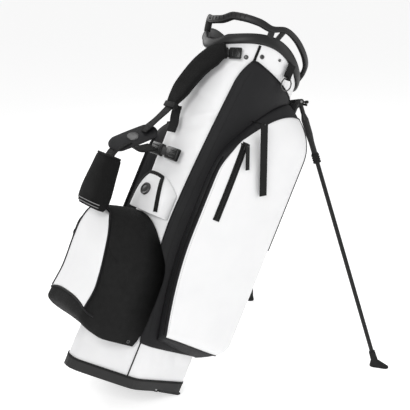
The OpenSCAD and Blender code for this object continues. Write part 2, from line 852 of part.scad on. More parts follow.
module lower_webbing() {
    on_bag() color(black)
        flat_bar([-246, 2, 520], [-272, 0, 489.5], web_w, web_t, 0);
}

module hub_side_webbing() {
    on_bag() color(black)
        flat_bar([-228, 10, 526], [-143, 42, 545], web_w, web_t, 90);
}

module strap_keeper() {
    on_bag() color(black)
        flat_bar(pad_end + [0, 0, -1], pad_end + [-2, 0, -15], 44, 13, 0);
}

module webbing_tail() {
    on_bag() color(black)
        flat_bar(pad_end + [16, -2, -3], pad_end + [20, -4, -64], 30, web_t, 0);
}

module top_buckle() {
    on_bag() color(black)
        rotate([0, 0, 209])
            translate([oval_r(209) + 8, 0, 810])
                rotate([15, 0, 0])
                    cube([9, 66, 28], center = true);
}

// Side-release buckle, closed, lying across the strap side of the body
module side_buckle() {
    on_bag() color(black) {
        for (v = [-34, 30])
            translate([-body_a - 8, v, 545])
                cube([13, 52, 32], center = true);
        translate([-body_a - 8, 0, 545])
            cube([9, 40, 24], center = true);
    }
}

dee_r = 15;
dee_at = [22, -body_b - 13.5, 812];
module collar_webbing() {
    on_bag() color(black) {
        translate([dee_at[0] - 11, -body_b - 8.4, dee_at[2] + 0.5])
            cube([22, 2.4, 34]);
        difference() {
            translate([dee_at[0] - 4, dee_at[1] - 4, dee_at[2] - 4.5])
                cube([8, 11, 9]);
            translate(dee_at) rotate([0, 90, 0])
                cylinder(r = 2.5, h = 40, center = true, $fn = 32);
        }
    }
}

module collar_dee_ring() {
    on_bag() color(metal)
        translate(dee_at - [0, 0, dee_r])
            rotate([90, 0, 0])
                rotate_extrude($fn = 40)
                    translate([dee_r, 0]) circle(r = 1.6, $fn = 20);
}

module collar_rivets() {
    on_bag() color(metal)
        for (p = [[133, 816], [117, 831], [227, 816], [243, 831]])
            translate([0, 0, p[1]])
                rotate([0, 0, p[0]])
                    translate([oval_r(p[0]) + 0.4, 0, 0])
                        rotate([0, 90, 0])
                            cylinder(r = 4.5, h = 2.2, $fn = 32);
}

collar_ring();
handle_arch();
club_divider();
body_shell();
base_cup();
base_piping();
foot_plate();
foot_pin();
actuator_rod();
actuator_yoke();
leg_bracket();
leg_pins();
leg_head(-1);  // near_leg_head
leg_tube(-1);  // near_leg_tube
leg_boot(-1);  // near_leg_boot
leg_foot(-1);  // near_leg_foot
leg_head(1);  // far_leg_head
leg_tube(1);  // far_leg_tube
leg_boot(1);  // far_leg_boot
leg_foot(1);  // far_leg_foot
spine_cover();
side_pocket(-1);  // near_pocket
side_pocket(1);  // far_pocket
side_panel(-1);  // near_side_panel
side_panel(1);  // far_side_panel
zip_tape(-1);  // near_zip_tape
zip_tape(1);  // far_zip_tape
zip_slider(-1);  // near_zip_slider
zip_pull(-1);  // near_zip_pull
zip_slider(1);  // far_zip_slider
zip_pull(1);  // far_zip_pull
tag_loop();
ribbon_tag();
ball_pocket();
ball_pocket_front();
ball_pocket_rivets();
valuables_pocket();
valuables_zip();
pocket_badge();
upper_shoulder_pad();
lower_shoulder_pad();
strap_hub();
hub_disc();
upper_webbing();
lower_webbing();
hub_side_webbing();
strap_keeper();
webbing_tail();
top_buckle();
side_buckle();
collar_webbing();
collar_dee_ring();
collar_rivets();
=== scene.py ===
import math

import bmesh
import bpy
from mathutils import Matrix, Vector, noise


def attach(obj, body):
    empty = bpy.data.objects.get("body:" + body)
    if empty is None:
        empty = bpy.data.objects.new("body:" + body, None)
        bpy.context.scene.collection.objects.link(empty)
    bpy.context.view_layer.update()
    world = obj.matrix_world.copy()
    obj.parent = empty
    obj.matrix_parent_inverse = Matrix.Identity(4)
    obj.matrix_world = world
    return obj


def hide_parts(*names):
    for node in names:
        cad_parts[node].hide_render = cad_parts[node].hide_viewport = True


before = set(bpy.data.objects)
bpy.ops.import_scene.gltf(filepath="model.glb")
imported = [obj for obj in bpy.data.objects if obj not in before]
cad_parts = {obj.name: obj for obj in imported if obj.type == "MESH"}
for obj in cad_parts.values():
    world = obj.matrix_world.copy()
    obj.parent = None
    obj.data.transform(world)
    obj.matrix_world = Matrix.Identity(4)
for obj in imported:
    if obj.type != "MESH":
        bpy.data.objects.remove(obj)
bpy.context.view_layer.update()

# ---------------------------------------------------------------- bag frame
# u towards the legs, v across, w up the bag's axis, in mm. Angles around the bag are in
# degrees: 0 faces the legs, 90 the far side, 180 the straps and 270 the near side.
LEAN = math.radians(27)
CL, SL = math.cos(LEAN), math.sin(LEAN)
RISE = 40.5  # height of the base's centre above the ground
FACET = 100.25  # middle of the foot plate's ground face, along u
ORIGIN = FACET * CL + (FACET * SL - RISE) / CL * SL
BODY_A, BODY_B, SPINE_U = 128, 121, 107
RIM_H, CUP_H = 823, 27
BASE_TILT = 5
WALL = 3
PANEL_LO, PANEL_HI = 108, 815
POCKET_LO, POCKET_HI, POCKET_CORNER = 104, 765, 600
ZIP_U, ZIP_TOP, ZIP_BOTTOM, ZIP_WIDTH = -44, 630, 438, 17
BALL_LO, BALL_HI, BALL_SHOULDER = 98, 392, 300
VAL_LO, VAL_HI = 396, 492
HUB_AT = (-233, 0, 546)
HUB_POLAR, HUB_TURN, HUB_ROLL = 51, 213, 150
HUB_HALF, HUB_R = 34, 27
BUCKLE_A, BUCKLE_W, BUCKLE_TILT = 209, 810, 15
SIDE_BUCKLE_W = 545


def place(p):
    u, v, w = p
    return Vector(((u * CL + w * SL - ORIGIN) / 1000, v / 1000, (RISE - u * SL + w * CL) / 1000))


def turn_in(d):
    return Vector((d[0] * CL + d[2] * SL, d[1], -d[0] * SL + d[2] * CL))


def clamp(x, a=0.0, b=1.0):
    return min(b, max(a, x))


def mix(a, b, t):
    return a + (b - a) * t


def smooth(t):
    t = clamp(t)
    return t * t * (3 - 2 * t)


def crown(t, p):
    return 1 - abs(2 * t - 1) ** p


def round_up(x, p):
    return 1 - (1 - clamp(x)) ** p


def bump(x, c, width):
    return math.exp(-(((x - c) / width) ** 2))


def cosd(a):
    return math.cos(math.radians(a))


def sind(a):
    return math.sin(math.radians(a))


def polar(r, a, w):
    return (r * cosd(a), r * sind(a), w)


def base_r(a):
    planes = [(1, 0, 98), (0.0645, 0.9979, 114.1), (0.0645, -0.9979, 114.1),
              (-0.6356, 0.7720, 121.9), (-0.6356, -0.7720, 121.9), (-1, 0, 167)]
    return sum(max(0, (cosd(a) * x + sind(a) * y) / d) ** 26 for x, y, d in planes) ** (-1 / 26)


def oval_r(a):
    r = math.hypot(cosd(a) / BODY_A, sind(a) / BODY_B)
    return (r**22 + max(0, cosd(a) / SPINE_U) ** 22) ** (-1 / 22)


def body_r(a, w):
    return mix(base_r(a), oval_r(a), smooth((w - 70) / 300))


def collar_r(a):
    return 1 / math.hypot(cosd(a) / (BODY_A + 6), sind(a) / (BODY_B + 4))


def rim_w(a):
    s2 = sind(a) ** 2
    return (RIM_H - 13 * cosd(a) + 43 * s2 - 24 * s2 * cosd(a) + 12 * smooth(s2 / 0.12)
            + 9 * max(0, cosd(a)) ** 6)


# ---------------------------------------------------------------- camera, light, stage
def stage_and_light():
    back = Vector((-0.5438, -0.7888, 0.2866)).normalized()
    aim = Vector((0.2416 - ORIGIN / 1000, 0, 0.4348))
    cam = bpy.data.objects.new("camera", bpy.data.cameras.new("camera"))
    bpy.context.scene.collection.objects.link(cam)
    cam.location = aim + back * 2.1
    cam.rotation_euler = back.to_track_quat("Z", "Y").to_euler()
    cam.data.sensor_width = 36
    cam.data.lens = 73.8
    cam.data.clip_end = 50
    bpy.context.scene.camera = cam

    def area(name, place_at, target, size, power):
        light = bpy.data.objects.new(name, bpy.data.lights.new(name, "AREA"))
        bpy.context.scene.collection.objects.link(light)
        light.location = place_at
        light.data.shape = "RECTANGLE"
        light.data.size, light.data.size_y = size
        light.data.energy = power
        aimed = Vector(place_at) - Vector(target)
        light.rotation_euler = aimed.to_track_quat("Z", "Y").to_euler()

    area("key", (-2.2, -1.5, 2.2), (0.1, 0, 0.45), (1.3, 1.3), 38)
    area("fill", (1.9, -2.1, 1.5), (0.1, 0, 0.45), (1.8, 1.8), 17)
    area("top", (0.2, 0.3, 3.0), (0.1, 0, 0.4), (2.0, 2.0), 22)
    area("rim", (-0.4, 2.4, 1.8), (0.1, 0, 0.5), (1.6, 1.2), 22)
    world = bpy.data.worlds.new("studio")
    world.use_nodes = True
    world.node_tree.nodes["Background"].inputs["Color"].default_value = (1, 1, 1, 1)
    world.node_tree.nodes["Background"].inputs["Strength"].default_value = 0.42
    bpy.context.scene.world = world
    bpy.context.scene.view_settings.view_transform = "Standard"

    mesh = bpy.data.meshes.new("floor")
    bm = bmesh.new()
    bmesh.ops.create_grid(bm, x_segments=8, y_segments=8, size=45)
    bm.to_mesh(mesh)
    bm.free()
    floor = bpy.data.objects.new("floor", mesh)
    bpy.context.scene.collection.objects.link(floor)
    floor.location.z = -0.0006
    m = bpy.data.materials.new("floor_paper")
    m.use_nodes = True
    b = m.node_tree.nodes["Principled BSDF"]
    b.inputs["Base Color"].default_value = (0.8, 0.8, 0.8, 1)
    b.inputs["Roughness"].default_value = 0.95
    b.inputs["Specular IOR Level"].default_value = 0.1
    b.inputs["Emission Color"].default_value = (1, 1, 1, 1)
    b.inputs["Emission Strength"].default_value = 0.6
    mesh.materials.append(m)


stage_and_light()


# ---------------------------------------------------------------- materials
class Mat:
    """A node material: colour and roughness varied by noise, height from a sum of textures."""

    def __init__(self, name, color, rough, metallic=0.0, uv=False, sheen=0.0, spec=0.5, coat=0.0):
        self.m = bpy.data.materials.new(name)
        self.m.use_nodes = True
        self.t = self.m.node_tree
        self.b = self.t.nodes["Principled BSDF"]
        self.b.inputs["Metallic"].default_value = metallic
        self.b.inputs["Specular IOR Level"].default_value = spec
        self.b.inputs["Sheen Weight"].default_value = sheen
        self.b.inputs["Sheen Roughness"].default_value = 0.5
        self.b.inputs["Coat Weight"].default_value = coat
        coords = self.node("ShaderNodeTexCoord")
        self.at = coords.outputs["UV" if uv else "Object"]
        self.space = coords.outputs["Object"]
        self.color, self.rough = color, rough
        self.height = None

    def node(self, kind, **sockets):
        n = self.t.nodes.new(kind)
        for k, v in sockets.items():
            n.inputs[k].default_value = v
        return n

    def link(self, a, b):
        self.t.links.new(a, b)

    def math(self, op, a, b):
        n = self.node("ShaderNodeMath")
        n.operation = op
        for i, x in enumerate((a, b)):
            if isinstance(x, (int, float)):
                n.inputs[i].default_value = x
            else:
                self.link(x, n.inputs[i])
        return n.outputs[0]

    def noise(self, scale, detail=4.0, rough=0.5, where=None):
        n = self.node("ShaderNodeTexNoise", Scale=scale, Detail=detail, Roughness=rough)
        self.link(where or self.space, n.inputs["Vector"])
        return n.outputs["Fac"]

    def cells(self, scale):
        n = self.node("ShaderNodeTexVoronoi", Scale=scale)
        n.feature = "DISTANCE_TO_EDGE"
        self.link(self.space, n.inputs["Vector"])
        return n.outputs["Distance"]

    def bands(self, scale, axis="X", profile="SIN"):
        n = self.node("ShaderNodeTexWave", Scale=scale)
        n.bands_direction = axis
        n.wave_profile = profile
        self.link(self.at, n.inputs["Vector"])
        return n.outputs["Fac"]

    def add(self, out, weight):
        part = self.math("MULTIPLY", out, weight)
        self.height = part if self.height is None else self.math("ADD", self.height, part)
        return self

    def shade(self, low, high, fac):
        n = self.node("ShaderNodeMix")
        n.data_type = "RGBA"
        n.inputs["A"].default_value = (*low, 1)
        n.inputs["B"].default_value = (*high, 1)
        self.link(fac, n.inputs["Factor"])
        self.link(n.outputs["Result"], self.b.inputs["Base Color"])
        return self

    def done(self, strength=0.4, distance=0.0006, vary=0.08):
        if not self.b.inputs["Base Color"].is_linked:
            spread = [tuple(clamp(c * k) for c in self.color) for k in (1 - vary, 1 + vary)]
            self.shade(*spread, self.noise(14))
        r = self.node("ShaderNodeMapRange")
        r.inputs["To Min"].default_value = clamp(self.rough - 0.09)
        r.inputs["To Max"].default_value = clamp(self.rough + 0.09)
        self.link(self.noise(38), r.inputs["Value"])
        self.link(r.outputs["Result"], self.b.inputs["Roughness"])
        if self.height is not None:
            n = self.node("ShaderNodeBump", Strength=strength, Distance=distance)
            self.link(self.height, n.inputs["Height"])
            self.link(n.outputs["Normal"], self.b.inputs["Normal"])
        return self.m


def white_leather(name):
    m = Mat(name, (0.83, 0.83, 0.835), 0.46, spec=0.4, coat=0.06)
    m.add(m.cells(620), 1.4).add(m.noise(900, 3), 0.5).add(m.noise(26, 3), 1.1)
    return m.shade((0.77, 0.77, 0.78), (0.88, 0.88, 0.88), m.noise(9, 5)).done(0.22, 0.0005)


def black_leather(name):
    m = Mat(name, (0.012, 0.012, 0.013), 0.56, spec=0.2)
    m.add(m.cells(560), 1.6).add(m.noise(800, 3), 0.5)
    return m.shade((0.009, 0.009, 0.01), (0.017, 0.017, 0.018), m.noise(12, 5)).done(0.35)


def nylon(name, low=0.006, high=0.014, scale=360):
    m = Mat(name, (high,) * 3, 0.72, uv=True, spec=0.16)
    m.add(m.bands(scale, "X"), 1).add(m.bands(scale, "Y"), 1).add(m.noise(240), 0.5)
    return m.shade((low,) * 3, (high,) * 3, m.noise(90, 6)).done(0.5, 0.0004)


def webbing(name):
    m = Mat(name, (0.012,) * 3, 0.66, uv=True, spec=0.18)
    m.add(m.bands(150, "Y"), 1.2).add(m.bands(420, "X"), 0.6)
    return m.shade((0.007,) * 3, (0.017,) * 3, m.bands(150, "Y")).done(0.7, 0.0006)


def mesh_fabric(name):
    m = Mat(name, (0.01,) * 3, 0.82, spec=0.14)
    m.add(m.cells(330), 3.0).add(m.noise(60), 0.8)
    return m.shade((0.005,) * 3, (0.014,) * 3, m.cells(330)).done(0.8, 0.0007)


def plastic(name, tone=0.012, rough=0.42):
    m = Mat(name, (tone,) * 3, rough, spec=0.32)
    m.add(m.noise(1500, 2), 0.8).add(m.noise(420, 3), 0.5).add(m.noise(30), 0.3)
    return m.shade((tone * 0.8,) * 3, (tone * 1.4,) * 3, m.noise(18, 5)).done(0.28, 0.0003)


def rubber(name):
    m = Mat(name, (0.012,) * 3, 0.75, spec=0.2)
    m.add(m.noise(700, 4), 1).add(m.noise(60), 0.5)
    return m.shade((0.008,) * 3, (0.02,) * 3, m.noise(30, 5)).done(0.4, 0.0004)


def dark_metal(name, tone=0.09, rough=0.32):
    m = Mat(name, (tone,) * 3, rough, metallic=1.0)
    m.add(m.noise(500, 3), 0.5)
    return m.shade((tone * 0.8,) * 3, (tone * 1.3,) * 3, m.noise(60, 5)).done(0.12, 0.0002)


def anodised(name):
    m = Mat(name, (0.018,) * 3, 0.34, metallic=0.7)
    m.add(m.noise(900, 2), 0.4)
    return m.shade((0.013,) * 3, (0.024,) * 3, m.noise(25, 5)).done(0.1, 0.0002)


M = {
    "white": white_leather("white_leather"),
    "black": black_leather("black_leather"),
    "nylon": nylon("black_nylon"),
    "lining": nylon("lining", 0.02, 0.035, 260),
    "web": webbing("black_webbing"),
    "mesh": mesh_fabric("air_mesh"),
    "plastic": plastic("moulded_black"),
    "sole": plastic("moulded_sole", 0.02, 0.55),
    "gloss": plastic("gloss_black", 0.008, 0.22),
    "rubber": rubber("black_rubber"),
    "dark": dark_metal("dark_plated"),
    "steel": dark_metal("satin_steel", 0.4, 0.36),
    "tube": anodised("black_anodised"),
    "grey": nylon("grey_trim", 0.22, 0.34, 300),
    "thread": nylon("black_thread", 0.012, 0.03, 900),
    "pale_thread": nylon("pale_thread", 0.5, 0.62, 900),
}


# ---------------------------------------------------------------- mesh helpers
def finish_piece(o, mats, body, nodes=(), smooth_faces=True):
    for m in mats if isinstance(mats, (list, tuple)) else [mats]:
        o.data.materials.append(M[m])
    if smooth_faces and o.type == "MESH":
        for p in o.data.polygons:
            p.use_smooth = True
    bpy.context.scene.collection.objects.link(o)
    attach(o, body)
    if nodes:
        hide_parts(*nodes)
    return o


def solid_between(name, ns, nt, outer, inner, mats, body, nodes=(), ring=False, pick=None):
    """A closed skin: outer(s, t) and inner(s, t) give bag-frame points in mm."""
    bm = bmesh.new()
    uv = bm.loops.layers.uv.new("UVMap")
    cols = ns if ring else ns + 1
    skins = [[[bm.verts.new(place(f(i / ns, j / nt))) for i in range(cols)]
              for j in range(nt + 1)] for f in (outer, inner)]
    pos = {}

    def quad(vs, st):
        if len(set(vs)) < 4:
            return
        try:
            face = bm.faces.new(vs)
        except ValueError:
            return
        if pick:
            face.material_index = pick(sum(a for a, _ in st) / 4, sum(b for _, b in st) / 4,
                                       vs[0] in pos)
        for loop, (a, b) in zip(face.loops, st):
            loop[uv].uv = (a * scale_s, b * scale_t)

    for row in skins[0]:
        for v in row:
            pos[v] = True
    mid = [outer(i / ns, 0.5) for i in range(ns + 1)]
    up = [outer(0.5, j / nt) for j in range(nt + 1)]
    scale_s = sum(math.dist(a, b) for a, b in zip(mid, mid[1:])) / 1000
    scale_t = sum(math.dist(a, b) for a, b in zip(up, up[1:])) / 1000
    for k, skin in enumerate(skins):
        for j in range(nt):
            for i in range(ns):
                a, b = skin[j][i], skin[j][(i + 1) % cols]
                c, d = skin[j + 1][(i + 1) % cols], skin[j + 1][i]
                st = [(i / ns, j / nt), ((i + 1) / ns, j / nt), ((i + 1) / ns, (j + 1) / nt),
                      (i / ns, (j + 1) / nt)]
                quad([a, b, c, d] if k == 0 else [d, c, b, a], st if k == 0 else st[::-1])
    for j in (0, nt):
        for i in range(ns):
            o0, o1 = skins[0][j][i], skins[0][j][(i + 1) % cols]
            i0, i1 = skins[1][j][i], skins[1][j][(i + 1) % cols]
            st = [(i / ns, j / nt), ((i + 1) / ns, j / nt)] * 2
            quad([i0, i1, o1, o0] if j == 0 else [o0, o1, i1, i0], st)
    if not ring:
        for i in (0, ns):
            for j in range(nt):
                o0, o1 = skins[0][j][i], skins[0][j + 1][i]
                i0, i1 = skins[1][j][i], skins[1][j + 1][i]
                st = [(i / ns, j / nt), (i / ns, (j + 1) / nt)] * 2
                quad([o0, o1, i1, i0] if i == 0 else [i0, i1, o1, o0], st)
    bmesh.ops.recalc_face_normals(bm, faces=bm.faces)
    mesh = bpy.data.meshes.new(name)
    bm.to_mesh(mesh)
    bm.free()
    return finish_piece(bpy.data.objects.new(name, mesh), mats, body, nodes)


def tube_along(name, pts, radius, mats, body, nodes=(), closed=False, sides=12, flat=None,
               out=None):
    """A swept section through bag-frame points; flat(i) = (half width, half thickness)."""
    bm = bmesh.new()
    uv = bm.loops.layers.uv.new("UVMap")
    p = [place(q) for q in pts]
    n = len(p)
    run = [0.0]
    for a, b in zip(p, p[1:]):
        run.append(run[-1] + (b - a).length)
    rings = []
    side = None
    for i in range(n):
        d = (p[(i + 1) % n] - p[i - 1]) if closed else (p[min(n - 1, i + 1)] - p[max(0, i - 1)])
        d.normalize()
        if out is not None:
            y = turn_in(out(i)).normalized()
            x = d.cross(y).normalized()
            y = x.cross(d).normalized()
        else:
            ref = side if side is not None else d.orthogonal()
            x = (ref - d * ref.dot(d)).normalized()
            side = x
            y = d.cross(x).normalized()
        rx, ry = flat(i / (n - 1)) if flat else (radius, radius)
        ring = []
        for k in range(sides):
            a = 2 * math.pi * k / sides
            cx, cy = math.cos(a), math.sin(a)
            if flat:
                cx = math.copysign(abs(cx) ** 0.5, cx)
                cy = math.copysign(abs(cy) ** 0.5, cy)
            ring.append(bm.verts.new(p[i] + x * cx * rx / 1000 + y * cy * ry / 1000))
        rings.append(ring)
    width = 2 * math.pi * (radius or flat(0.5)[0]) / 1000
    for i in range(n if closed else n - 1):
        for k in range(sides):
            a, b = rings[i], rings[(i + 1) % n]
            f = bm.faces.new([a[k], a[(k + 1) % sides], b[(k + 1) % sides], b[k]])
            lo, hi = run[i], run[i + 1] if i + 1 < n else run[i] + 0.002
            for loop, q in zip(f.loops, [(k, lo), (k + 1, lo), (k + 1, hi), (k, hi)]):
                loop[uv].uv = (q[0] / sides * width, q[1])
    if not closed:
        bm.faces.new(rings[0][::-1])
        bm.faces.new(rings[-1])
    bmesh.ops.recalc_face_normals(bm, faces=bm.faces)
    mesh = bpy.data.meshes.new(name)
    bm.to_mesh(mesh)
    bm.free()
    return finish_piece(bpy.data.objects.new(name, mesh), mats, body, nodes)


def resample(pts, step):
    out = [pts[0]]
    need = step
    for a, b in zip(pts, pts[1:]):
        d = math.dist(a, b)
        at = 0.0
        while d - at >= need:
            at += need
            out.append(tuple(mix(x, y, at / d) for x, y in zip(a, b)))
            need = step
        need -= d - at
    return out


def curve_through(knots, n):
    """A smooth curve through the knots, as n + 1 points."""
    out = []
    last = len(knots) - 1
    for j in range(n + 1):
        x = j / n * last
        i = min(last - 1, int(x))
        f = x - i
        p0, p1, p2, p3 = (knots[max(0, i - 1)], knots[i], knots[i + 1], knots[min(last, i + 2)])
        out.append(tuple(
            b + 0.5 * f * (c - a + f * (2 * a - 5 * b + 4 * c - d + f * (3 * (b - c) + d - a)))
            for a, b, c, d in zip(p0, p1, p2, p3)))
    return out


def stitches(name, pts, mat, body="bag", pitch=4.2, length=2.9, r=0.42):
    """A run of separate stitches along a line, as one mesh."""
    line = resample(pts, pitch)
    bm = bmesh.new()
    for a, b in zip(line, line[1:]):
        pa, pb = place(a), place(b)
        d = (pb - pa).normalized()
        x = d.orthogonal().normalized()
        y = d.cross(x)
        rings = []
        for f, k in ((0, 0.35), (0.18, 1), (0.82, 1), (1, 0.35)):
            c = pa + d * (length * f / 1000)
            rings.append([bm.verts.new(c + (x * math.cos(q) + y * math.sin(q)) * r * k / 1000)
                          for q in (0, 1.571, 3.142, 4.712)])
        for g, h in zip(rings, rings[1:]):
            for k in range(4):
                bm.faces.new([g[k], g[(k + 1) % 4], h[(k + 1) % 4], h[k]])
        bm.faces.new(rings[0][::-1])
        bm.faces.new(rings[-1])
    mesh = bpy.data.meshes.new(name)
    bm.to_mesh(mesh)
    bm.free()
    return finish_piece(bpy.data.objects.new(name, mesh), mat, body)


def disc(name, centre, normal, profile, mats, body="bag", nodes=(), sides=40, stretch=1.0,
         along=None):
    """A turned piece: profile is (radius, height) pairs from the middle of the face outwards."""
    bm = bmesh.new()
    c, n = place(centre), turn_in(normal).normalized()
    x = (turn_in(along) if along else n.orthogonal())
    x = (x - n * x.dot(n)).normalized()
    y = n.cross(x)
    rings = []
    for r, h in profile:
        rings.append([bm.verts.new(c + (x * math.cos(2 * math.pi * k / sides) * stretch
                                        + y * math.sin(2 * math.pi * k / sides)) * r / 1000
                                   + n * h / 1000) for k in range(sides)])
    for a, b in zip(rings, rings[1:]):
        for k in range(sides):
            bm.faces.new([a[k], a[(k + 1) % sides], b[(k + 1) % sides], b[k]])
    bm.faces.new(rings[0])
    bm.faces.new(rings[-1][::-1])
    bmesh.ops.recalc_face_normals(bm, faces=bm.faces)
    mesh = bpy.data.meshes.new(name)
    bm.to_mesh(mesh)
    bm.free()
    o = finish_piece(bpy.data.objects.new(name, mesh), mats, body, nodes)
    return o


def rounded_block(name, centre, axes, half, mats, body="bag", nodes=(), bevel=1.6):
    """A moulded block with rounded edges; axes are its own three directions."""
    bm = bmesh.new()
    bmesh.ops.create_cube(bm, size=2)
    c = place(centre)
    ax = [turn_in(a).normalized() for a in axes]
    for v in bm.verts:
        v.co = c + sum((ax[i] * v.co[i] * half[i] / 1000 for i in range(3)), Vector())
    mesh = bpy.data.meshes.new(name)
    bm.to_mesh(mesh)
    bm.free()
    o = finish_piece(bpy.data.objects.new(name, mesh), mats, body, nodes)
    m = o.modifiers.new("round", "BEVEL")
    m.width = bevel / 1000
    m.segments = 4
    return o


def dress(node, mat, bevel=0.0006, segments=2):
    """Puts a material and a soft edge on a CAD node that keeps its shape."""
    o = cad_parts[node]
    o.data.materials.clear()
    o.data.materials.append(M[mat])
    if bevel:
        m = o.modifiers.new("edge", "BEVEL")
        m.width = bevel
        m.segments = segments
        m.limit_method = "ANGLE"
        m.angle_limit = math.radians(38)
    return o


# ---------------------------------------------------------------- body of the bag
def crease(a, w):
    """Soft folds in the white skin, deepest under the shoulder pad."""
    fade = smooth((w - 395) / 60) * (1 - smooth((w - 800) / 30))
    side = bump(a, 196, 34)
    k = 2.6 * bump(w, 640 + 0.9 * (a - 190), 9) - 2.2 * bump(w, 612 + 1.3 * (a - 190), 11)
    k += 1.9 * bump(w, 705 - 0.8 * (a - 205), 12) - 1.6 * bump(w, 690 - 0.8 * (a - 205), 8)
    k += 1.8 * bump(w, 560 + 0.7 * (a - 200), 13) - 1.4 * bump(w, 520 + 0.5 * (a - 200), 10)
    waves = noise.noise(Vector((a / 16, w / 70, 3.1))) * 1.5
    return (k * side * 1.1 + waves * (0.4 + 0.6 * side)) * fade


def lower_fold(a, w):
    k = smooth((w - 44) / 20) * (1 - smooth((w - 96) / 40))
    return k * (2.2 * noise.noise(Vector((a / 11, w / 30, 8.0))) - 1.4 * bump(a, 292 + w / 6, 5))


def skin(a, w):
    return body_r(a, w) + crease(a, w) + lower_fold(a, w)


def body_shell():
    def h(s, t):
        a = s * 360
        low = CUP_H - 5.5 + math.tan(math.radians(BASE_TILT)) * base_r(a) * cosd(a)
        return mix(low, rim_w(a) - 12, t)

    solid_between(
        "body_tube", 220, 150,
        lambda s, t: polar(skin(s * 360, h(s, t)), s * 360, h(s, t)),
        lambda s, t: polar(body_r(s * 360, h(s, t)) - WALL, s * 360, h(s, t)),
        ["white", "lining"], "bag", ["body_shell"], ring=True,
        pick=lambda s, t, outside: 0 if outside else 1)


def panel_edge(w):
    return (124 + 19.5 * round_up((w - PANEL_LO) / 300, 1.8)
            - 9 * max(0, (w - 400) / 350) ** 1.5 - 7.7 * clamp((w - 750) / 65) ** 2)


def panel_point(s, t, side, lift):
    a = mix(42, panel_edge(mix(PANEL_LO, PANEL_HI, t)), s)
    w = mix(PANEL_LO, min(781 + 0.573 * (a - 59.4), PANEL_HI), t)
    ripple = 0.5 * noise.noise(Vector((s * 6, w / 60, side * 4.0)))
    u, v, w = polar(body_r(a, w) + lift + ripple, a, w)
    return (u, side * v, w)


def side_panels():
    for side, nm in ((-1, "near"), (1, "far")):
        solid_between(
            nm + "_panel", 60, 90,
            lambda s, t: panel_point(s, t, side, 3.6),
            lambda s, t: panel_point(s, t, side, 1.0),
            "black", "bag", [nm + "_side_panel"])
        edge = [panel_point(1, j / 120, side, 3.4) for j in range(121)]
        tube_along(nm + "_panel_edge", edge, 1.5, "black", "bag", sides=8)
        top = [panel_point(1 - j / 60, 1, side, 3.4) for j in range(56)]
        tube_along(nm + "_panel_top", top, 1.5, "black", "bag", sides=8)
        for k, off in ((0, 0.965), (1, 0.90)):
            line = [panel_point(off, j / 120, side, 4.1) for j in range(3, 117)]
            stitches(f"{nm}_panel_stitch_{k}", line, "thread")


# ---------------------------------------------------------------- side pockets
DEPTH = 48


def pocket_top(s):
    return mix(POCKET_HI, POCKET_CORNER, s**2.2)


def pocket_w(s, t):
    return mix(mix(POCKET_LO, POCKET_LO + 25, s), pocket_top(s), t)


def pocket_a(s, t):
    return mix(41, 124 - 16 * (1 - clamp(t / 0.55)) ** 2 - 5 * clamp((t - 0.8) / 0.2) ** 2, s)


def box_r(a, face):
    return ((sind(a) / face) ** 8 + (abs(cosd(a)) / 177) ** 8) ** (-1 / 8)


def pocket_rise(s, t):
    return round_up((1 - t) / mix(0.19, 0.06, s), 2.3) * round_up(t / mix(0.1, 0.06, s), 2.6)


def pocket_out(s, t):
    a, w = pocket_a(s, t), pocket_w(s, t)
    edge = round_up((1 - s) / 0.09, 2.4)
    face = BODY_B + DEPTH * (0.68 + 0.24 * crown(t, 2) * crown(s, 2))
    return mix(body_r(a, w) + 9, box_r(a, face), pocket_rise(s, t) * mix(0.25, 1, edge))


def pocket_point(s, t, side, lift=0.0):
    """Outer skin of a side pocket, with its soft shape; lift is along the radius."""
    a, w = pocket_a(s, t), pocket_w(s, t)
    inside = smooth(s * 9) * smooth((1 - s) * 9) * smooth(t * 9) * smooth((1 - t) * 9)
    n = noise.noise(Vector((s * 3.1 + side, t * 4.2, 0.7)))
    f = noise.noise(Vector((s * 9.0 + side * 2, t * 11.0, 2.7)))
    r = pocket_out(s, t) + lift + inside * (1.6 * n + 0.5 * f)
    u, v, w = polar(r, a, w)
    return (u, side * v, w)


def pocket_back(s, t, side):
    a, w = pocket_a(s, t), pocket_w(s, t)
    u, v, w = polar(body_r(a, w) + 4.7, a, w)
    return (u, side * v, w)


# The white face's outline on the pocket: straight down its side, rounded at its top corner
FACE_S, FACE_T, CORNER = 0.945, 0.965, 0.12


def face_point(s, t, side, lift):
    """The white face: the pocket's skin inside the outline, pulled in at the top corner."""
    far = max(0, (t - (1 - CORNER)) / CORNER)
    s_max = FACE_S - 0.10 * (1 - math.sqrt(max(0, 1 - far * far)))
    return pocket_point(0.03 + (s_max - 0.03) * s, mix(0.035, FACE_T, t), side, lift)


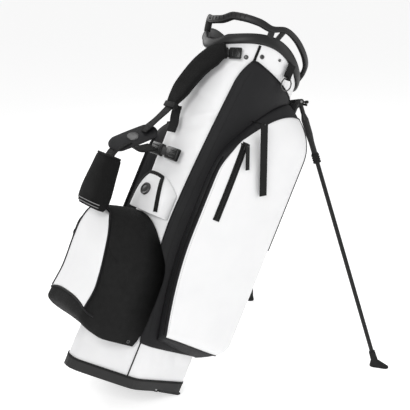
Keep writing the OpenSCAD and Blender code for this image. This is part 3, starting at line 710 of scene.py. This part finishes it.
def side_pockets():
    for side, nm in ((-1, "near"), (1, "far")):
        solid_between(
            nm + "_pocket_skin", 110, 120,
            lambda s, t: pocket_point(s, t, side),
            lambda s, t: pocket_back(s, t, side),
            ["black", "white"], "bag", [nm + "_pocket"],
            pick=lambda s, t, outside: 1 if s < 0.034 else 0)
        solid_between(
            nm + "_pocket_face", 100, 110,
            lambda s, t: face_point(s, t, side, 0.9),
            lambda s, t: face_point(s, t, side, -0.8),
            "white", "bag")
        border = ([face_point(1, j / 140, side, 1.2) for j in range(0, 141)]
                  + [face_point(1 - j / 60, 1, side, 1.2) for j in range(1, 61)])
        tube_along(nm + "_pocket_piping", border, 1.9, "black", "bag", sides=8)
        tape = [pocket_point(FACE_S + 0.022, j / 140, side, 0.9) for j in range(6, 132)]
        tube_along(nm + "_gusset_zip", tape, 2.2, "nylon", "bag", sides=8,
                   flat=lambda f: (2.8, 0.9), out=lambda i: (0, side, 0))
        hem = [face_point(s / 60, 0, side, 1.0) for s in range(0, 61)]
        tube_along(nm + "_pocket_hem", hem, 1.9, "black", "bag", sides=8)
        spine = [face_point(0, j / 120, side, 1.0) for j in range(56, 121)]
        tube_along(nm + "_pocket_back_piping", spine, 1.7, "black", "bag",
                   sides=8)
        line = [face_point(0.975, j / 140, side, 1.2) for j in range(4, 134)]
        stitches(nm + "_pocket_stitch", line, "pale_thread")
        line = [pocket_point(FACE_S + 0.042, j / 140, side, 0.4) for j in range(8, 132)]
        stitches(nm + "_gusset_stitch", line, "thread")


def on_face(u, w, side, lift=0.0):
    """Point of the side pocket's face at a given u and w, found by stepping along the skin."""
    s, t = 0.7, 0.6
    for _ in range(14):
        p = pocket_point(s, t, side)
        e = 0.002
        pu, pt = pocket_point(s + e, t, side), pocket_point(s, t + e, side)
        a, b = (pu[0] - p[0]) / e, (pt[0] - p[0]) / e
        c, d = (pu[2] - p[2]) / e, (pt[2] - p[2]) / e
        det = a * d - b * c
        if abs(det) < 1e-6:
            break
        du, dw = u - p[0], w - p[2]
        s = clamp(s + (d * du - b * dw) / det, 0.02, 0.98)
        t = clamp(t + (a * dw - c * du) / det, 0.02, 0.98)
    p = pocket_point(s, t, side)
    return (u, p[1] + side * lift, w)


def pocket_zips():
    for side, nm in ((-1, "near"), (1, "far")):
        def mid(f, x=0.0, lift=0.0):
            return on_face(ZIP_U + x, mix(ZIP_TOP, ZIP_BOTTOM, f), side, lift)

        solid_between(
            nm + "_zip_band", 4, 40,
            lambda s, t: mid(t, (s - 0.5) * ZIP_WIDTH, 2.4),
            lambda s, t: mid(t, (s - 0.5) * ZIP_WIDTH, -0.4),
            "nylon", "bag", [nm + "_zip_tape"])
        bm = bmesh.new()
        for k in range(84):
            f = 0.02 + k / 84 * 0.96
            for x in (-1.1, 1.1):
                c = place(mid(f + (0.003 if x > 0 else 0), x, 2.7))
                made = bmesh.ops.create_icosphere(bm, subdivisions=1, radius=0.0011)
                for v in made["verts"]:
                    v.co = Vector((v.co.x * 1.5, v.co.y, v.co.z * 0.8)) + c
        mesh = bpy.data.meshes.new(nm + "_zip_teeth")
        bm.to_mesh(mesh)
        bm.free()
        finish_piece(bpy.data.objects.new(nm + "_zip_teeth", mesh), "plastic", "bag")
        for x in (-6.4, 6.4):
            stitches(f"{nm}_zip_stitch_{'a' if x < 0 else 'b'}",
                     [mid(f / 40, x, 2.6) for f in range(1, 40)], "thread")
        dress(nm + "_zip_slider", "dark", 0.0008, 3)
        dress(nm + "_zip_pull", "rubber", 0.0007, 3)


# ---------------------------------------------------------------- ball pocket
BALL_HALF = 106


def ball_w(s, t):
    k = abs(2 * s - 1)
    return mix(mix(BALL_LO, BALL_LO - 4, k**3), mix(BALL_HI, BALL_SHOULDER, k**2.6), t)


def ball_v(s, t):
    return (2 * s - 1) * BALL_HALF * mix(0.93, 1, crown(t, 4))


def ball_front(t):
    return 228 + 11 * smooth((t - 0.4) * 1.7) + 12 * smooth((0.45 - t) * 2.6)


def ball_out(s, t):
    k = abs(2 * s - 1)
    shape = (1 - min(1, k) ** 14) ** 0.4 * round_up((1 - t) / 0.1, 2.4)
    return -mix(150, ball_front(t), shape * mix(0.35, 1, round_up(t / 0.14, 2.2)))


def ball_back(s, t):
    v, w = ball_v(s, t), ball_w(s, t)
    a = 180 - math.degrees(math.asin(clamp(abs(v) / 128)))
    return min(-body_r(a, w) * cosd(180 - a) - 6, -66)


def ball_point(s, t, lift=0.0):
    n = noise.noise(Vector((s * 5, t * 5, 5.5))) * 1.5
    inside = smooth(s * 7) * smooth((1 - s) * 7) * smooth(t * 7) * smooth((1 - t) * 7)
    v = ball_v(s, t)
    k = 2 * s - 1
    return (ball_out(s, t) - lift * (1 - abs(k) ** 3) - n * inside,
            v + math.copysign(lift * abs(k) ** 3, k), ball_w(s, t))


def front_half(t):
    return mix(0.39, 0.30, clamp(t) ** 3)


def ball_pocket():
    solid_between(
        "ball_pocket_bag", 110, 90,
        lambda s, t: ball_point(1 - s, t),
        lambda s, t: (ball_back(1 - s, t), ball_v(1 - s, t), ball_w(1 - s, t)),
        "nylon", "bag", ["ball_pocket"])

    def face(s, t, lift):
        # The top corners of the white face are rounded
        k = max(0, (t - 0.82) / 0.18)
        half = front_half(t) - 0.13 * (1 - math.sqrt(max(0, 1 - k * k)))
        return ball_point(0.5 + (2 * s - 1) * half, mix(0.22, 0.93, t), lift)

    solid_between(
        "ball_panel", 44, 60,
        lambda s, t: face(1 - s, t, 3.0), lambda s, t: face(1 - s, t, 0.4),
        "white", "bag", ["ball_pocket_front"])
    left = [face(0, j / 60, 3.0) for j in range(61)]
    top = [face(j / 20, 1, 3.0) for j in range(1, 20)]
    right = [face(1, 1 - j / 60, 3.0) for j in range(61)]
    tube_along("ball_panel_piping", left + top + right, 2.4, "black", "bag",
               sides=8)
    low = [ball_point(j / 80, 0.21, 1.5) for j in range(2, 79)]
    tube_along("ball_cup_lip", low, 2.2, "black", "bag", sides=8)
    for k, f in enumerate((-1, 1)):
        line = [ball_point(0.5 + f * (front_half(t / 60) + 0.028), mix(0.22, 0.86, t / 60), 0.8)
                for t in range(61)]
        stitches(f"ball_panel_stitch_{k}", line, "thread")
    flap = [ball_point(j / 60, 0.83 - 0.06 * crown(j / 60, 2), 0.9) for j in range(1, 60)]
    tube_along("ball_flap_seam", flap, 1.2, "nylon", "bag", sides=8)
    for side in (-1, 1):
        disc(f"ball_eyelet_{'near' if side < 0 else 'far'}",
             (-102, side * 100.6, 104), (0, side, 0),
             [(1.8, -1), (1.8, 1.2), (2.6, 1.9), (3.8, 1.7), (4.5, 0.5), (4.5, -1)], "dark")


# ---------------------------------------------------------------- valuables pocket
def val_turn(s):
    return mix(146, 214, s)


def val_up(s, t):
    return mix(VAL_LO, VAL_HI - 36 * abs(2 * s - 1) ** 2.4, t)


def val_out(s, t, lift=0.0):
    a, w = val_turn(s), val_up(s, t)
    r = body_r(a, w) + 2 + 22 * crown(s, 3) ** 0.6 * clamp(1 - t**3) ** 0.6 + lift
    return polar(r, a, w)


def valuables():
    solid_between(
        "valuables_pouch", 60, 44,
        lambda s, t: val_out(s, t), lambda s, t: polar(body_r(val_turn(s), val_up(s, t)) + 0.7,
                                                       val_turn(s), val_up(s, t)),
        "white", "bag", ["valuables_pocket"])
    arch = []
    for j in range(81):
        f = j / 80
        s = mix(0.17, 0.83, f)
        t = min(0.97, 0.1 + 1.0 * crown(f, 3.2))
        u, v, w = val_out(s, clamp(t, 0.02, 0.95), 0.8)
        arch.append((u, v, w))
    tube_along("valuables_zip_band", arch, 5, "nylon", "bag", ["valuables_zip"],
               flat=lambda f: (5.5, 1.6), out=lambda i: (arch[i][0], arch[i][1], 0))
    disc("badge", (-152, -6, 446), (-1, -0.12, 0.1),
         [(8, 1.5), (9.5, 1.0), (11, 2.3), (13.5, 2.4), (15, 1.4), (15, -2)], ["dark"],
         nodes=["pocket_badge"])


# ---------------------------------------------------------------- collar and handles
HANDLE = [(154, 2), (161, 34), (174, 46), (191, 48), (208, 42), (226, 30), (241, 19), (255, 29),
          (270, 30), (285, 30), (300, 31), (315, 30), (328, 20), (338, 2)]


def handle_point(a, h):
    return polar(collar_r(a) - 5 + h * 0.22, a, rim_w(a) - 4 + h)


def collar():
    n = 240
    profile = [(-10, -24), (-10.6, -6), (-9.5, -1.6), (-5, 0), (-1.5, -0.6), (0.8, -3.6),
               (1.2, -8), (2.4, -9.4), (2.6, -19), (1.6, -22), (0.4, -26), (-9, -26)]
    m = len(profile)

    def ring(s, t):
        dr, dw = profile[int(round(t * (m - 1)))]
        return polar(collar_r(s * 360) + dr, s * 360, rim_w(s * 360) + dw)

    bm = bmesh.new()
    rows = [[bm.verts.new(place(ring(i / n, j / (m - 1)))) for i in range(n)] for j in range(m)]
    for j in range(m):
        for i in range(n):
            a, b = rows[j], rows[(j + 1) % m]
            bm.faces.new([a[i], a[(i + 1) % n], b[(i + 1) % n], b[i]])
    bmesh.ops.recalc_face_normals(bm, faces=bm.faces)
    mesh = bpy.data.meshes.new("collar")
    bm.to_mesh(mesh)
    bm.free()
    o = finish_piece(bpy.data.objects.new("collar", mesh), "plastic", "bag",
                     ["collar_ring"])
    o.modifiers.new("smooth", "SUBSURF").render_levels = 1
    path = [handle_point(a, h) for a, h in curve_through(HANDLE, 150)]

    def thick(f):
        k = smooth((f - 0.4) * 8)
        return (8.5 - 2.0 * k, 8.2 - 2.0 * k)

    tube_along("handle", path, 7, "plastic", "bag", ["handle_arch"], sides=20,
               flat=thick, out=lambda i: (path[i][0], path[i][1], 0))
    for nm, f, a, rr in (("joint", 0.47, 243, (7.5, 6)), ("strut", 0.545, 251, (5.5, 5))):
        p = path[int(f * 150)]
        q = polar(collar_r(a) - 5, a, rim_w(a) - 6)
        line = [tuple(mix(x, y, k / 8) for x, y in zip(p, q)) for k in range(9)]
        tube_along("handle_" + nm, line, 6, "plastic", "bag", sides=16,
                   flat=lambda g, rr=rr: rr, out=lambda i, p=p: (p[0], p[1], 0))
    for k in range(11):
        f = 0.14 + k * 0.019
        i = int(f * 150)
        p = path[i]
        d = Vector(path[i + 1]) - Vector(path[i - 1])
        side = d.cross(Vector((p[0], p[1], 0))).normalized()
        outw = Vector((p[0], p[1], 0)).normalized()
        arc = [tuple(Vector(p) + side * 8.7 * math.cos(q) + outw * 8.4 * math.sin(q))
               for q in (math.pi * (j / 10 - 0.05) for j in range(12))]
        tube_along(f"grip_rib_{k}", arc, 1.1, "rubber", "bag", sides=6)


def collar_trim():
    for k, (a, w) in enumerate(((133, 816), (117, 831), (227, 816), (243, 831))):
        disc(f"collar_rivet_{k}", polar(oval_r(a) + 0.4, a, w), (cosd(a), sind(a), 0),
             [(1.2, 2.0), (3.4, 2.2), (4.6, 1.4), (5.4, 0.3), (5.4, -1)], "dark",
             nodes=["collar_rivets"] if k == 0 else ())
    for side, sgn, a in (("near", -1, 236.5), ("far", 1, 123.5)):
        seam = [polar(skin(a, w) + 1.0, a, w) for w in range(813, 855, 2)]
        tube_along(side + "_collar_seam_strip", seam, 3, "nylon", "bag", sides=8,
                   flat=lambda f: (3.2, 0.9), out=lambda i, a=a: (cosd(a), sind(a), 0))
        low = [polar(skin(a, w) + 0.8, a, w) for w in range(22, 114, 3)]
        tube_along(side + "_base_seam", low, 1.6, "black", "bag", sides=8)
        stud = sgn * 96
        disc(side + "_collar_stud", polar(oval_r(stud) + 0.6, stud, 842),
             (cosd(stud), sind(stud), 0),
             [(1.0, 1.8), (2.6, 1.9), (3.4, 1.1), (3.4, -1)], "dark")
    dress("collar_webbing", "web", 0.0005)
    dress("collar_dee_ring", "dark", 0)


# ---------------------------------------------------------------- straps
def ribbon(name, knots, width, thick, wide, mat, nodes=(), n=40, taper=None):
    pts = curve_through(knots, n)
    return tube_along(name, pts, None, mat, "bag", nodes, sides=16,
                      flat=lambda f: (width / 2 * (taper(f) if taper else 1), thick / 2),
                      out=lambda i: wide(i / n) if callable(wide) else wide)


def shoulder_pad():
    knots = [(-128, -66, 812), (-137, -46, 796), (-149, -24, 760), (-157, -8, 716),
             (-162, -2, 684), (-168, 0, 656)]
    pts = curve_through(knots, 60)

    def section(f):
        w = 19 + 12 * smooth(f * 4) - 9 * smooth((f - 0.72) * 3.6)
        t = 4 + 4.4 * crown(clamp(f), 4)
        return (w, t)

    o = tube_along("shoulder_pad", pts, None, "mesh", "bag",
                   ["upper_shoulder_pad"], sides=28, flat=section,
                   out=lambda i: (-1, -0.35 * (1 - i / 60), 0.25))
    for k, sgn in enumerate((-1, 1)):
        line = []
        for i, p in enumerate(pts[2:-2], 2):
            w, t = section(i / 60)
            d = Vector(pts[i + 1]) - Vector(pts[i - 1])
            y = Vector((-1, -0.35 * (1 - i / 60), 0.25))
            x = d.cross(y).normalized()
            line.append(tuple(Vector(p) + x * w * sgn))
        tube_along(f"shoulder_pad_binding_{k}", line, 2.0, "nylon", "bag",
                   sides=8)


def lower_pad():
    levels = [(362, 14, 40), (366, 21, 49), (378, 25, 53), (400, 25.5, 52), (430, 25, 47),
              (462, 23.5, 41), (480, 22, 37), (486, 19, 34)]
    n = len(levels) - 1

    def at(s, t, grow=0.0):
        x = t * n
        i = min(n - 1, int(x))
        w, ru, rv = (mix(p, q, x - i) for p, q in zip(levels[i], levels[i + 1]))
        a = s * 360
        e = 0.8
        cu = math.copysign(abs(cosd(a)) ** e, cosd(a))
        cv = math.copysign(abs(sind(a)) ** e, sind(a))
        k = noise.noise(Vector((s * 6, t * 4, 9.1))) * 1.2
        return (mix(-267, -273, t) + (ru + grow + k) * cu, (rv + grow + k) * cv, w)

    bm = bmesh.new()
    rows, cols = 40, 56
    ring = [[bm.verts.new(place(at(i / cols, j / rows))) for i in range(cols)]
            for j in range(rows + 1)]
    for j in range(rows):
        for i in range(cols):
            bm.faces.new([ring[j][i], ring[j][(i + 1) % cols], ring[j + 1][(i + 1) % cols],
                          ring[j + 1][i]])
    bm.faces.new(ring[0][::-1])
    bm.faces.new(ring[-1])
    bmesh.ops.recalc_face_normals(bm, faces=bm.faces)
    mesh = bpy.data.meshes.new("lower_pad")
    bm.to_mesh(mesh)
    bm.free()
    o = finish_piece(bpy.data.objects.new("lower_pad", mesh), "mesh", "bag",
                     ["lower_shoulder_pad"])
    for nm, t, r in (("top", 0.985, 2.4), ("bottom", 0.06, 2.0)):
        loop = [at(i / 60, t, 0.6) for i in range(60)]
        tube_along("lower_pad_binding_" + nm, loop, r, "nylon", "bag",
                   closed=True, sides=8)
    for k, t in enumerate((0.16, 0.24)):
        arc = [at(0.36 + 0.34 * i / 30, t, 0.8) for i in range(31)]
        tube_along(f"lower_pad_trim_{k}", arc, 0.9, "grey", "bag", sides=6)


def hub():
    c = Vector(HUB_AT)
    pol, trn, rol = (math.radians(x) for x in (HUB_POLAR, HUB_TURN, HUB_ROLL))
    rot = (Matrix.Rotation(trn, 3, "Z") @ Matrix.Rotation(pol, 3, "Y")
           @ Matrix.Rotation(rol, 3, "Z"))
    x, y, z = (rot @ Vector(a) for a in ((1, 0, 0), (0, 1, 0), (0, 0, 1)))
    bm = bmesh.new()
    cols = 72
    prof = [(0.0, 1.2), (0.42, 1.2), (0.46, 0.6), (0.9, 0.2), (0.97, -1.2), (1.0, -3), (0.97, -5),
            (0.88, -6), (0.0, -6)]
    rings = []
    for k, hgt in prof:
        row = []
        for i in range(cols):
            q = 2 * math.pi * i / cols
            k = max(k, 0.01)
            cx = math.copysign(HUB_HALF, math.cos(q)) * min(1.0, abs(math.cos(q)) * 4)
            ex, ey = (cx + HUB_R * math.cos(q)) * k, HUB_R * math.sin(q) * k
            row.append(bm.verts.new(place(tuple(c + x * ex + y * ey + z * hgt))))
        rings.append(row)
    for a, b in zip(rings, rings[1:]):
        for i in range(cols):
            bm.faces.new([a[i], a[(i + 1) % cols], b[(i + 1) % cols], b[i]])
    bmesh.ops.recalc_face_normals(bm, faces=bm.faces)
    mesh = bpy.data.meshes.new("hub_plate")
    bm.to_mesh(mesh)
    bm.free()
    finish_piece(bpy.data.objects.new("hub_plate", mesh), "black", "bag",
                 ["strap_hub"])
    disc("hub_badge", tuple(c + z * 1.0), tuple(z),
         [(8.5, 1.2), (10, 0.8), (11.5, 2.0), (13, 2.0), (13.6, 0.6), (13.6, -1)], "dark",
         nodes=["hub_disc"])


def straps():
    shoulder_pad()
    lower_pad()
    hub()
    ribbon("strap_web_upper", [(-168, 0, 650), (-182, 0, 622), (-200, -1, 592), (-216, -1, 566)],
           31, 2.6, (-0.85, 0, -0.5), "web", ["upper_webbing"])
    ribbon("strap_web_lower", [(-240, 2, 532), (-256, 1, 516), (-268, 0, 500), (-272, 0, 486)],
           40, 2.6, (-0.8, 0, 0.5), "web", ["lower_webbing"])
    ribbon("strap_web_side", [(-232, 10, 528), (-205, 22, 523), (-172, 34, 532), (-146, 41, 545)],
           38, 2.4, (0.15, -0.1, 1), "web", ["hub_side_webbing"])
    ribbon("tail", [(-152, -2, 655), (-150, -4, 632), (-147, -8, 612), (-148, -10, 592)],
           29, 2.2, (-1, -0.2, 0), "web", ["webbing_tail"])
    rounded_block("keeper", (-169, 0, 650), ((0, 1, 0), (-0.98, 0, 0.14), (0.14, 0, 0.98)),
                  (22, 6, 7), "web", nodes=["strap_keeper"])
    a = BUCKLE_A
    tilt = cosd(BUCKLE_TILT)
    across = Vector((-sind(a) * tilt, cosd(a) * tilt, sind(BUCKLE_TILT)))
    outwards = Vector((cosd(a), sind(a), 0))
    axes = (across, outwards, across.cross(outwards))
    mid = Vector(polar(oval_r(a) + 8, a, BUCKLE_W))
    for k, x in enumerate((-17, 17)):
        rounded_block(f"top_buckle_{k}", tuple(mid + across * x), axes, (15.5, 4.2, 13.5),
                      "gloss", nodes=["top_buckle"] if k == 0 else (), bevel=3.4)
        for j in (-1, 1):
            rounded_block(f"top_buckle_{k}_rib_{j + 1}",
                          tuple(mid + across * (x + j * 5) + outwards * 4.2), axes,
                          (1.2, 0.8, 9), "plastic", bevel=0.6)
    rounded_block("top_buckle_tongue", tuple(mid), axes, (8, 2.6, 9), "plastic",
                  bevel=1.6)
    lying = ((0, 1, 0), (-1, 0, 0), (0, 0, 1))
    for nm, v in (("a", -34), ("b", 32)):
        rounded_block("side_buckle_" + nm, (-136.5, v, SIDE_BUCKLE_W), lying, (24, 5.4, 15),
                      "gloss", bevel=3.2,
                      nodes=["side_buckle"] if nm == "a" else ())
        for k in (-1, 0, 1):
            rounded_block(f"side_buckle_{nm}_rib_{k + 1}",
                          (-142.2, v * 1.2, SIDE_BUCKLE_W + k * 8), lying, (12, 0.8, 1.3),
                          "plastic", bevel=0.6)
    rounded_block("side_buckle_tongue", (-136.5, -1, SIDE_BUCKLE_W), lying, (17, 3.6, 10),
                  "plastic", bevel=1.6)


# ---------------------------------------------------------------- base, legs and hardware
def hard_parts():
    dress("club_divider", "plastic", 0.0012, 3)
    dress("base_cup", "sole", 0.0012, 3)
    dress("base_piping", "rubber", 0.0008, 2)
    dress("foot_plate", "sole", 0.001, 2)
    dress("foot_pin", "steel", 0.0003)
    dress("actuator_rod", "steel", 0.0002)
    dress("actuator_yoke", "plastic", 0.0006)
    dress("leg_bracket", "plastic", 0.0008)
    dress("leg_pins", "steel", 0.0004)
    dress("spine_cover", "plastic", 0.0014, 3)
    dress("tag_loop", "dark", 0.0002)
    for side in ("near", "far"):
        dress(side + "_leg_head", "plastic", 0.0009, 3)
        dress(side + "_leg_tube", "tube", 0.0002)
        dress(side + "_leg_boot", "rubber", 0.0005)
        dress(side + "_leg_foot", "rubber", 0.0012, 3)


def ribbon_tag():
    dress("ribbon_tag", "web", 0.0004)


body_shell()
side_panels()
side_pockets()
pocket_zips()
ball_pocket()
valuables()
collar()
collar_trim()
straps()
hard_parts()
ribbon_tag()
